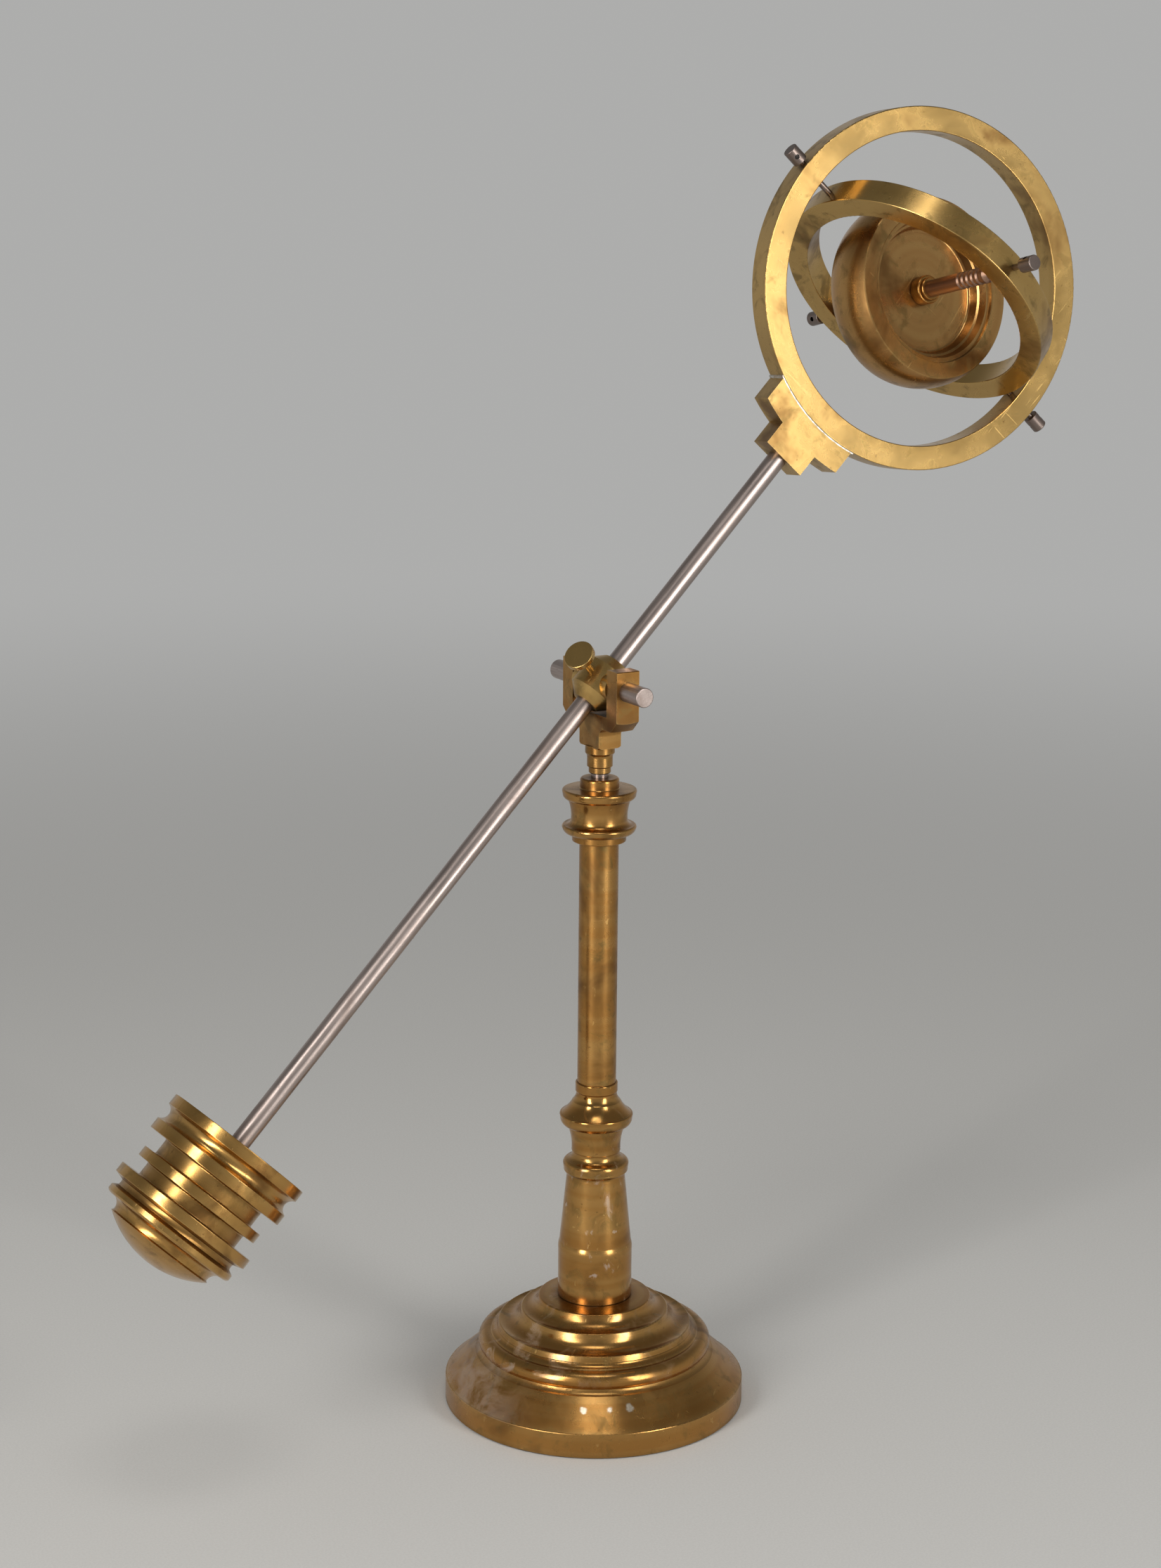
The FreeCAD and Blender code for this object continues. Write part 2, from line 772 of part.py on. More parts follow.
def make_pivot_block():
    half = S.block_length / 2
    land = half - S.block_chamfer
    end_radius = S.block_radius - S.block_chamfer
    core = turned("block_core", [
        (ZERO, -half),
        (end_radius, -half),
        (S.block_radius, -land),
        (S.block_radius, land),
        (end_radius, half),
        (ZERO, half),
    ])
    lying = turn_about(X_AXIS, 90)
    reach = S.fork_gap / 2 - S.end_gap
    bosses = cylinder("block_bosses", S.block_boss_radius, reach * 2, shift(y=reach) * lying)
    whole = fuse("block_whole", core, bosses)
    rod_bore = cylinder("block_rod_bore", S.rod_radius + S.running_gap, S.block_length + 2 * CLEAR,
                        shift(z=-half - CLEAR))
    holes = []
    for side, start in (("near", trunnion_root), ("far", -reach - CLEAR)):
        length = reach + CLEAR - trunnion_root
        place = shift(y=start + length) * lying
        holes.append(cylinder("block_hole_" + side, S.trunnion_radius + S.seat_gap, length, place))
    screw_hole = cylinder("block_screw_hole", S.thumb_shank_radius + S.running_gap,
                          S.block_radius + 2 * CLEAR, thumb_direction())
    block = cut("pivot_block", whole, rod_bore, holes[0], holes[1], screw_hole)
    keep("pivot_block", block, arm_frame())


def thumb_direction():
    """Z points out of the block along the thumbscrew, turned about the rod to the near side."""
    return turn_about(Z_AXIS, S.thumb_turn) * turn_about(Y_AXIS, 90)


def make_trunnion_pins():
    for name, side in (("trunnion_pin_near", 1), ("trunnion_pin_far", -1)):
        body = turned(name, [
            (ZERO, trunnion_root),
            (S.trunnion_radius - S.edge_break, trunnion_root),
            (S.trunnion_radius, trunnion_root + S.edge_break),
            (S.trunnion_radius, S.trunnion_reach - S.edge_break),
            (S.trunnion_radius - S.edge_break, S.trunnion_reach, QUARTER),
            (ZERO, S.trunnion_reach),
        ])
        keep(name, body, arm_frame() * turn_about(X_AXIS, -90 * side))


def make_thumbscrew():
    tip = S.rod_radius + S.end_gap
    under = S.thumb_reach - S.thumb_head_thickness
    body = turned("thumbscrew", [
        (ZERO, tip),
        (S.thumb_shank_radius - S.fine_edge, tip),
        (S.thumb_shank_radius, tip + S.fine_edge),
        (S.thumb_shank_radius, under - S.edge_break),
        (S.thumb_shank_radius + S.edge_break, under, -QUARTER),
        (S.thumb_head_radius - S.edge_break, under),
        (S.thumb_head_radius, under + S.edge_break, QUARTER),
        (S.thumb_head_radius, S.thumb_reach - S.fine_edge),
        (S.thumb_head_radius - S.fine_edge, S.thumb_reach, QUARTER),
        (ZERO, S.thumb_reach),
    ])
    keep("thumbscrew", body, arm_frame() * thumb_direction())


# Arm

def make_arm_rod():
    low = -S.weight_distance - S.rod_in_weight
    high = boss_end + S.rod_in_boss
    body = turned("arm_rod", [
        (ZERO, low),
        (S.rod_radius - S.edge_break, low),
        (S.rod_radius, low + S.edge_break),
        (S.rod_radius, high - S.edge_break),
        (S.rod_radius - S.edge_break, high),
        (ZERO, high),
    ])
    keep("arm_rod", body, arm_frame())


def cap_bulge(radius, height):
    """The bulge of an arc that turns into a cap of a sphere, from its rim to its crown."""
    return math.tan(math.atan2(height.value, radius.value) / 2) / 2


def disc(radius, start, end):
    """One disc of the counterweight, with its edges broken."""
    edge = S.disc_edge
    return [
        (radius - edge, start),
        (radius, start + edge, QUARTER),
        (radius, end - edge),
        (radius - edge, end, QUARTER),
    ]


def groove(radius, start, end):
    """One deep groove of the counterweight, with rounded corners."""
    fillet = S.groove_fillet
    return [
        (radius + fillet, start),
        (radius, start + fillet, -QUARTER),
        (radius, end - fillet),
        (radius + fillet, end, -QUARTER),
    ]


def make_counterweight():
    """Turned about the rod, from its top face down to the dome."""
    bore = S.rod_radius + S.seat_gap
    second_z = S.disc_height + S.first_groove_height
    groove_z = second_z + S.disc_height
    third_z = groove_z + S.deep_groove_height
    third_end_z = third_z + S.thin_disc_height
    fourth_z = third_end_z + S.short_groove_height
    fourth_end_z = fourth_z + S.thin_disc_height
    fifth_z = fourth_end_z + S.late_groove_height
    fifth_end_z = fifth_z + S.last_disc_height
    dome_z = fifth_end_z + S.dome_groove_height
    end_z = dome_z + S.dome_height
    body = turned("counterweight", [
        (bore, ZERO),
        *disc(S.weight_radius, ZERO, S.disc_height),
        (S.first_groove_edge, S.disc_height + S.first_groove_land),
        (S.first_groove_edge, second_z - S.first_groove_land, -FIRST_HOLLOW),
        *disc(S.weight_radius, second_z, groove_z),
        *groove(S.deep_groove_radius, groove_z, third_z),
        *disc(S.small_disc_radius, third_z, third_end_z),
        *groove(S.deep_groove_radius, third_end_z, fourth_z),
        *disc(S.weight_radius, fourth_z, fourth_end_z),
        (S.late_groove_radius, fourth_end_z + S.late_groove_land),
        (S.late_groove_radius, fifth_z - S.late_groove_land, -SOFT),
        (S.last_disc_radius - S.fine_edge, fifth_z),
        (S.last_disc_radius, fifth_z + S.fine_edge),
        (S.last_disc_radius, fifth_end_z - S.last_disc_bevel),
        (S.last_disc_radius - 2 * S.last_disc_bevel, fifth_end_z, BEVEL_BULGE),
        (S.dome_radius - S.dome_lip, dome_z - S.dome_lip, -DOME_HOLLOW),
        (S.dome_radius, dome_z),
        (ZERO, end_z, cap_bulge(S.dome_radius, S.dome_height)),
        (ZERO, S.rod_in_weight + S.end_gap),
        (bore, S.rod_in_weight + S.end_gap),
    ])
    place = arm_frame() * shift(z=-S.weight_distance) * turn_about(X_AXIS, 180)
    keep("counterweight", body, place)


def make_ring_boss():
    """An ear that follows the ring, with a square block for the rod. Z is the ring's axis."""
    width = S.outer_ring_width
    middle = shift(z=-width / 2)
    span = S.ear_half_width * 2
    disc = cylinder("ear_disc", ear_radius, width, middle)
    ear_box = box("ear_box", ear_radius, span, width,
                  shift(x=-ear_radius - CLEAR, y=S.rod_offset - S.ear_half_width, z=-width / 2))
    ear = combine("Common", "ear", disc, ear_box)
    block = box("boss_block", boss_reach - S.outer_ring_bore, S.boss_half_width * 2, width,
                shift(x=-boss_reach, y=S.rod_offset - S.boss_half_width, z=-width / 2))
    whole = fuse("boss_whole", ear, block)
    ring_space = cylinder("boss_ring_space", outer_ring_radius + S.solder_gap, width + 2 * CLEAR,
                          shift(z=-width / 2 - CLEAR))
    rod_hole = cylinder("boss_rod_hole", S.rod_radius + S.seat_gap, S.rod_in_boss + CLEAR + S.end_gap,
                        shift(x=-boss_reach - CLEAR, y=S.rod_offset) * turn_about(Y_AXIS, 90))
    keep("ring_boss", cut("ring_boss", whole, ring_space, rod_hole), head_frame())


def make_solder_seam():
    width = S.outer_ring_width - 2 * S.solder_inset
    outer = cylinder("seam_outer", outer_ring_radius + S.solder_gap, width, shift(z=-width / 2))
    inner = cylinder("seam_inner", outer_ring_radius, width + 2 * CLEAR, shift(z=-width / 2 - CLEAR))
    strip = combine("Cut", "seam_strip", outer, inner)
    span = S.ear_half_width + S.solder_overrun
    window = box("seam_window", ear_radius, span * 2, width,
                 shift(x=-ear_radius - CLEAR, y=S.rod_offset - span, z=-width / 2))
    keep("solder_seam", combine("Common", "solder_seam", strip, window), head_frame())


# Gimbal rings

def ring_blank(name, radius, bore, width):
    half = width / 2
    edge = S.ring_edge
    return turned(name, [
        (bore, -half + edge),
        (bore + edge, -half, QUARTER),
        (radius - edge, -half),
        (radius, -half + edge, QUARTER),
        (radius, half - edge),
        (radius - edge, half, QUARTER),
        (bore + edge, half),
        (bore, half - edge, QUARTER),
    ])


def make_outer_ring():
    blank = ring_blank("outer_ring_blank", outer_ring_radius, S.outer_ring_bore, S.outer_ring_width)
    reach = outer_ring_radius + 2 * CLEAR
    pivots = shift(y=-S.gimbal_drop) * turn_about(X_AXIS, S.gimbal_lean)
    hole = cylinder("outer_ring_hole", S.screw_radius + S.running_gap, reach * 2,
                    pivots * shift(y=reach) * turn_about(X_AXIS, 90))
    keep("outer_ring", cut("outer_ring", blank, hole), head_frame())


def make_inner_ring():
    blank = ring_blank("inner_ring_blank", inner_ring_radius, S.inner_ring_bore, S.inner_ring_width)
    reach = inner_ring_radius + CLEAR
    threads = cylinder("inner_ring_threads", S.screw_radius + S.running_gap, reach * 2,
                       shift(x=-reach) * turn_about(Y_AXIS, 90))
    sockets = []
    for side in (1, -1):
        start = inner_ring_radius - S.centre_depth - S.end_gap
        length = S.centre_depth + S.end_gap + CLEAR
        place = turn_about(X_AXIS, -90 * side) * shift(z=start)
        name = "inner_ring_centre_%s" % ("upper" if side > 0 else "lower")
        sockets.append(cylinder(name, S.screw_radius + S.running_gap, length, place))
    ring = cut("inner_ring", blank, threads, sockets[0], sockets[1])
    keep("inner_ring", ring, inner_frame())


# How far each screw had been turned when it was last set, in degrees
HOLE_TURNS = {
    "outer_screw_upper": 70,
    "outer_screw_lower": 25,
    "inner_screw_near": 80,
    "inner_screw_far": 35,
}


def capstan_screw(name, tip, reach, placement, hole_turn):
    """A pointed pivot screw with a round head, cross-drilled for a tommy bar. Z points outwards."""
    head = reach - S.screw_head_length
    body = turned(name + "_blank", [
        (ZERO, tip),
        (S.screw_tip_radius, tip),
        (S.screw_radius, tip + S.screw_point),
        (S.screw_radius, head - S.screw_edge),
        (S.screw_radius + S.screw_edge, head, -QUARTER),
        (S.screw_head_radius - S.screw_edge, head),
        (S.screw_head_radius, head + S.screw_edge, QUARTER),
        (S.screw_head_radius, reach - S.screw_edge),
        (S.screw_head_radius - S.screw_edge, reach, QUARTER),
        (ZERO, reach),
    ])
    span = S.screw_head_radius + CLEAR
    middle = reach - S.screw_head_length / 2
    place = shift(z=middle) * turn_about(Z_AXIS, hole_turn) * turn_about(Y_AXIS, 90) * shift(z=-span)
    hole = cylinder(name + "_hole", S.screw_head_hole, span * 2, place)
    keep(name, cut(name, body, hole), placement)


def make_capstan_screws():
    ring_tip = inner_ring_radius - S.centre_depth
    rotor_tip = spindle_half - S.centre_depth
    gimbal = gimbal_frame()
    inner = inner_frame()
    screws = {
        "outer_screw_upper": (ring_tip, outer_screw_reach, gimbal * turn_about(X_AXIS, -90)),
        "outer_screw_lower": (ring_tip, outer_screw_reach, gimbal * turn_about(X_AXIS, 90)),
        "inner_screw_near": (rotor_tip, inner_screw_reach, inner * turn_about(Y_AXIS, 90)),
        "inner_screw_far": (rotor_tip, inner_screw_reach, inner * turn_about(Y_AXIS, -90)),
    }
    for name, (tip, reach, placement) in screws.items():
        capstan_screw(name, tip, reach, placement, HOLE_TURNS[name])


# Rotor

def make_rotor():
    """A heavy rounded rim on a thin dished web. Z is the spindle's axis."""
    half = S.rotor_half_width
    step = half - S.step_depth
    shelf = half - S.shelf_depth
    hole = S.spindle_radius + S.seat_gap
    front = [
        (hole, S.web_half),
        (S.hub_radius + S.web_flat, S.web_half),
        (S.dish_radius - S.web_fillet, S.web_half + S.web_swell),
        (S.dish_radius, S.web_half + S.web_fillet, -QUARTER),
        (S.dish_radius + S.shelf_width / 2, shelf),
        (S.dish_radius + S.shelf_width, shelf + S.rotor_edge),
        (S.step_radius, step),
        (S.recess_radius - S.fine_edge, step),
        (S.recess_radius, half - S.fine_edge),
        (S.recess_radius + S.rotor_edge, half),
        (S.rotor_edge_radius - S.rotor_edge, half),
        (S.rotor_edge_radius, half - S.rotor_edge),
    ]
    back = [(point[0], -point[1]) + point[2:] for point in front]
    outline = reflected(front, 1, 1) + back
    rim_width = 2 * (half - S.rotor_edge)
    rim_rise = (S.rotor_radius - S.rotor_edge_radius).value / rim_width.value
    outline[0] = outline[0] + (rim_rise,)
    body = turned("rotor", outline)
    keep("rotor", body, rotor_frame())


def rotor_frame():
    return inner_frame() * turn_about(Y_AXIS, 90)


def make_rotor_hubs():
    hole = S.spindle_radius + S.seat_gap
    top = S.web_half + S.hub_length
    for name, flip in (("rotor_hub_near", 0), ("rotor_hub_far", 180)):
        body = turned(name, [
            (hole, S.web_half),
            (S.hub_radius - S.fine_edge, S.web_half),
            (S.hub_radius, S.web_half + S.fine_edge),
            (S.hub_radius, top - S.hub_edge),
            (S.hub_radius - S.hub_edge, top, QUARTER),
            (S.spindle_radius + S.hub_collar, top),
            (S.spindle_radius + S.hub_collar, top + S.hub_collar_height, COLLAR_BULGE),
            (hole, top + S.hub_collar_height),
        ])
        keep(name, body, rotor_frame() * turn_about(X_AXIS, flip))


def make_rotor_spindle():
    """The spindle, with grooves that grip the starting string at each end."""
    centre_radius = S.screw_radius + S.running_gap
    end = spindle_half
    bottom = end - S.centre_depth - S.end_gap
    low = S.spindle_radius - S.groove_depth
    upper = [(S.spindle_radius, groove_start - S.groove_pitch)]
    for number in range(GROOVES):
        start = groove_start + S.groove_pitch * number
        upper.append((S.spindle_radius, start))
        upper.append((low, start + S.groove_pitch * FLOOR_START))
        upper.append((low, start + S.groove_pitch * FLOOR_END))
        upper.append((S.spindle_radius, start + S.groove_pitch * FLANK_END))
    upper.append((S.spindle_radius, end - S.spindle_taper))
    upper.append((S.spindle_radius - S.spindle_taper_depth, end))
    upper.append((centre_radius, end))
    upper.append((centre_radius, bottom))
    upper.append((ZERO, bottom))
    lower = [(across, -up) for across, up in upper]
    body = turned("rotor_spindle", lower[::-1] + upper)
    keep("rotor_spindle", body, rotor_frame())


make_base_flange()
make_base_moulding()
make_lower_column()
make_column_shaft()
make_capital()
make_tie_rod()
make_swivel_pin()
make_fork()
make_pivot_block()
make_trunnion_pins()
make_thumbscrew()
make_arm_rod()
make_counterweight()
make_ring_boss()
make_solder_seam()
make_outer_ring()
make_inner_ring()
make_capstan_screws()
make_rotor()
make_rotor_hubs()
make_rotor_spindle()
doc.recompute()

for item in doc.Objects:
    if "Invalid" in item.State or "Error" in item.State:
        raise RuntimeError("%s did not build: %s" % (item.Name, item.State))
for name, item in nodes.items():
    if item.Shape.isNull() or not item.Shape.isValid() or not item.Shape.Solids:
        raise RuntimeError("%s has no valid solid" % name)

os.makedirs("parts", exist_ok=True)
for name, item in nodes.items():
    item.Shape.exportStep("parts/%s.step" % name)
print("%d pieces, pivot at %.2f mm" % (len(nodes), pivot_z.value))
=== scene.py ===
import json
import math

import bpy
from mathutils import Matrix, Vector
from mathutils.bvhtree import BVHTree

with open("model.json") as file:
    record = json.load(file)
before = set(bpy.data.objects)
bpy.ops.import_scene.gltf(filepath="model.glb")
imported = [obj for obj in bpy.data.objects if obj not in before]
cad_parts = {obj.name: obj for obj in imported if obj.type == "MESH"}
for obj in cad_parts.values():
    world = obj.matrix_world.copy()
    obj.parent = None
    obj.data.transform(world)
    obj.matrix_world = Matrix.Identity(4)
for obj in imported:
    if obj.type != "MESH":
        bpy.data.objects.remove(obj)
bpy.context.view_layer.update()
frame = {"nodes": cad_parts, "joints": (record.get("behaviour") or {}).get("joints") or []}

# An aged brass demonstration gyroscope on its stand. Every piece keeps its CAD shape;
# this script gives the metals their surfaces and sets up a plain studio.
# Metres, in the frame of the CAD: +Z up, +X the level direction in which the arm rises.

nodes = frame["nodes"]
joints = {joint["name"]: joint for joint in frame["joints"]}


# The frames that the surfaces follow

BASE = Vector((0, 0, 0))
UP = Vector((0, 0, 1))
PIVOT = Vector(joints["arm_tilt"]["pos_m"])
ROD = Vector(joints["rod_slide"]["axis"]).normalized()
TRUNNION = Vector(joints["arm_tilt"]["axis"]).normalized()
RING_CENTRE = Vector(joints["inner_ring_tilt"]["pos_m"])
RING_UP = Vector(joints["inner_ring_tilt"]["axis"]).normalized()
RING_AXIS = ROD.cross(RING_UP).normalized()
SPINDLE = Vector(joints["rotor_spin"]["axis"]).normalized()
INNER_AXIS = RING_UP.cross(SPINDLE).normalized()
THUMB = Vector(joints["thumbscrew_turn"]["axis"]).normalized()
THUMB_PLACE = Vector(joints["thumbscrew_turn"]["pos_m"])


# The camera, solved from the photograph

PHOTO_WIDTH = 1652
PHOTO_HEIGHT = 2231
FOCAL_PIXELS = 4294.35
CAMERA_PLACE = Vector((-0.72937, -1.21981, 0.65202))
CAMERA_FORWARD = Vector((0.49411, 0.83872, -0.22893)).normalized()
CAMERA_ROLL = math.radians(0.502)
LEVEL_RIGHT = CAMERA_FORWARD.cross(UP).normalized()
LEVEL_UP = LEVEL_RIGHT.cross(CAMERA_FORWARD)
CAMERA_RIGHT = math.cos(CAMERA_ROLL) * LEVEL_RIGHT + math.sin(CAMERA_ROLL) * LEVEL_UP
CAMERA_UP = -math.sin(CAMERA_ROLL) * LEVEL_RIGHT + math.cos(CAMERA_ROLL) * LEVEL_UP
SENSOR_MILLIMETRES = 36.0
NEAR_CLIP = 0.05
FAR_CLIP = 60.0


# Colours, linear

GOLD = (0.54, 0.345, 0.118)
STAND_GOLD = (0.42, 0.208, 0.056)
WEIGHT_GOLD = (0.50, 0.280, 0.084)
ROTOR_GOLD = (0.45, 0.243, 0.084)
PALE_GOLD = (0.66, 0.445, 0.17)
BROWN = (0.17, 0.082, 0.026)
OLIVE = (0.205, 0.135, 0.046)
# Painted shade: the brown that darkens grooves and corners, also standing for tarnish
SHADE_AND_TARNISH_BROWN = (0.055, 0.027, 0.010)
RESIDUE = (0.36, 0.335, 0.325)
STEEL = (0.47, 0.395, 0.365)
STEEL_STAIN = (0.20, 0.145, 0.12)
DARK_STEEL = (0.23, 0.185, 0.165)
SPINDLE_BRONZE = (0.38, 0.225, 0.15)
SOLDER = (0.66, 0.65, 0.62)
SOLDER_STAIN = (0.40, 0.33, 0.24)
WHITE_CHIP = (0.86, 0.74, 0.58)


# Grain of the surfaces: waves per metre, detail, roughness, distortion

TOOL_RINGS = (2300.0, 2.0)
TOOL_BANDS = (150.0, 2.0)
BRASS_CLOUDS = (26.0, 4.0, 0.55, 0.4)
BRASS_PATCHES = (95.0, 5.0, 0.62, 0.8)
BRASS_GRAIN = (900.0, 3.0, 0.6)
BRASS_SPOTS = (420.0, 2.0)
SCRATCHES = (520.0, 2.0, 0.6)
DRAWN_LINES = (1500.0, 2.0)
STEEL_CLOUDS = (60.0, 4.0, 0.6, 0.6)
STEEL_FRECKLES = (520.0, 5.0, 0.7)
STEEL_GRAIN = (1400.0, 2.0)
SOLDER_LUMPS = (420.0, 4.0, 0.6)
RAGGED_EDGE = (260.0, 4.0, 0.6)
COLUMN_CLOUDS = (62.0, 5.0, 0.62, 1.2)
FLANGE_CLOUDS = (48.0, 6.0, 0.7, 0.8)
COVE_CLOUDS = (75.0, 5.0, 0.65, 0.9)
PAPER_GRAIN = (900.0, 3.0)

# How far these are drawn out: across, across and along the piece's axis
SCRATCH_STRETCHES = ((1.0, 0.06, 0.5), (0.05, 0.8, 0.35))
DRAWN_STRETCH = (1.0, 1.0, 0.03)
STEEL_CLOUD_STRETCH = (1.0, 1.0, 0.35)
UPRIGHT_STRETCH = (1.0, 1.0, 0.6)

# Reach of the painted shade in the corners and radius of the worn edges
BRASS_CORNER = 0.006
BRASS_EDGE = 0.0006
STEEL_CORNER = 0.004
STEEL_EDGE = 0.0004
CORNER_SAMPLES = 6
EDGE_SAMPLES = 4


class Graph:
    """The node tree of a material or a world, with short calls for the nodes that they share."""

    def __init__(self, owner, output="ShaderNodeOutputMaterial"):
        owner.use_nodes = True
        self.owner = owner
        self.tree = owner.node_tree
        self.tree.nodes.clear()
        self.output = self.add(output)

    def add(self, kind, **settings):
        node = self.tree.nodes.new(kind)
        for key, value in settings.items():
            setattr(node, key, value)
        return node

    def link(self, value, socket):
        """Join a socket to a value, which is another socket or a constant."""
        if isinstance(value, bpy.types.NodeSocket):
            self.tree.links.new(value, socket)
        elif value is not None:
            socket.default_value = value

    def math(self, operation, first, second, clamp=False):
        node = self.add("ShaderNodeMath", operation=operation, use_clamp=clamp)
        self.link(first, node.inputs[0])
        self.link(second, node.inputs[1])
        return node.outputs[0]

    def product(self, *values):
        result = values[0]
        for value in values[1:]:
            result = self.math("MULTIPLY", result, value)
        return result

    def highest(self, *values):
        result = values[0]
        for value in values[1:]:
            result = self.math("MAXIMUM", result, value)
        return result

    def total(self, start, rows):
        """The start plus each row's value times its share, kept within 0 and 1."""
        for value, share in rows:
            start = self.math("ADD", start, self.product(value, share), clamp=True)
        return start

    def vector(self, operation, first, second=None, output=0):
        node = self.add("ShaderNodeVectorMath", operation=operation)
        self.link(first, node.inputs[0])
        self.link(second, node.inputs[1])
        return node.outputs[output]

    def dot(self, first, second):
        return self.vector("DOT_PRODUCT", first, second, "Value")

    def stretch(self, place, scales):
        return self.vector("MULTIPLY", place, scales)

    def combine(self, across, along, around=0.0):
        node = self.add("ShaderNodeCombineXYZ")
        for index, value in enumerate((across, along, around)):
            self.link(value, node.inputs[index])
        return node.outputs[0]

    def noise(self, place, scale, detail=3.0, rough=0.5, distortion=0.0):
        node = self.add("ShaderNodeTexNoise")
        self.link(place, node.inputs["Vector"])
        node.inputs["Scale"].default_value = scale
        node.inputs["Detail"].default_value = detail
        node.inputs["Roughness"].default_value = rough
        node.inputs["Distortion"].default_value = distortion
        return node.outputs["Fac"]

    def ramp(self, value, low, high, start=0.0, end=1.0):
        """A smooth step from start to end as the value goes from low to high."""
        node = self.add("ShaderNodeMapRange", interpolation_type="SMOOTHSTEP")
        self.link(value, node.inputs["Value"])
        node.inputs["From Min"].default_value = low
        node.inputs["From Max"].default_value = high
        node.inputs["To Min"].default_value = start
        node.inputs["To Max"].default_value = end
        return node.outputs[0]

    def mix(self, amount, first, second):
        node = self.add("ShaderNodeMix", data_type="RGBA")
        self.link(amount, node.inputs[0])
        for value, socket in ((first, node.inputs[6]), (second, node.inputs[7])):
            if isinstance(value, tuple):
                value = (*value, 1.0)
            self.link(value, socket)
        return node.outputs[2]

    def tint(self, colour, layers):
        """The colour under a row of layers, each a place where it shows, its strength and its tint."""
        for where, strength, layer_colour in layers:
            colour = self.mix(self.product(where, strength), colour, layer_colour)
        return colour

    def coordinates(self):
        return self.add("ShaderNodeTexCoord").outputs["Object"]

    def local(self, centre, axis):
        """Object coordinates about a turned piece's own axis: (across, across, along)."""
        place = self.vector("SUBTRACT", self.coordinates(), centre)
        side = axis.orthogonal().normalized()
        other = axis.cross(side)
        return self.combine(self.dot(place, side), self.dot(place, other), self.dot(place, axis))

    def lathe(self, place):
        """Coordinates in which a turned piece's tool marks lie: distance out and distance along."""
        flat = self.vector("MULTIPLY", place, (1, 1, 0))
        radius = self.vector("LENGTH", flat, None, "Value")
        return self.combine(radius, self.dot(place, UP))

    def shaded_hollows(self, reach):
        """1 in grooves and inner corners, where shade falls, 0 in the open."""
        node = self.add("ShaderNodeAmbientOcclusion", samples=CORNER_SAMPLES)
        node.inputs["Distance"].default_value = reach
        return self.ramp(node.outputs["AO"], 0.25, 0.92, 1.0, 0.0)

    def edges(self, radius):
        """1 along worn edges, 0 on faces."""
        bevel = self.add("ShaderNodeBevel", samples=EDGE_SAMPLES)
        bevel.inputs["Radius"].default_value = radius
        normal = self.add("ShaderNodeNewGeometry").outputs["Normal"]
        return self.ramp(self.dot(bevel.outputs[0], normal), 0.90, 0.998, 1.0, 0.0)

    def bumps(self, rows):
        """Bumps laid over each other, each a pattern, its depth in metres and its strength."""
        normal = None
        for pattern, depth, strength in rows:
            node = self.add("ShaderNodeBump")
            node.inputs["Strength"].default_value = strength
            node.inputs["Distance"].default_value = depth
            self.link(pattern, node.inputs["Height"])
            self.link(normal, node.inputs["Normal"])
            normal = node.outputs[0]
        return normal

    def metal(self, colour, roughness, normal, metallic=1.0):
        shader = self.add("ShaderNodeBsdfPrincipled")
        self.link(colour, shader.inputs["Base Color"])
        self.link(roughness, shader.inputs["Roughness"])
        self.link(metallic, shader.inputs["Metallic"])
        self.link(normal, shader.inputs["Normal"])
        self.link(shader.outputs[0], self.output.inputs["Surface"])
        return self.owner


def scratches(graph, place):
    """Thin straight marks in two directions, 1 on a mark."""
    limit = 0.71
    marks = []
    for scales in SCRATCH_STRETCHES:
        streaks = graph.noise(graph.stretch(place, scales), *SCRATCHES)
        marks.append(graph.ramp(streaks, limit, limit + 0.03))
    return graph.highest(*marks)


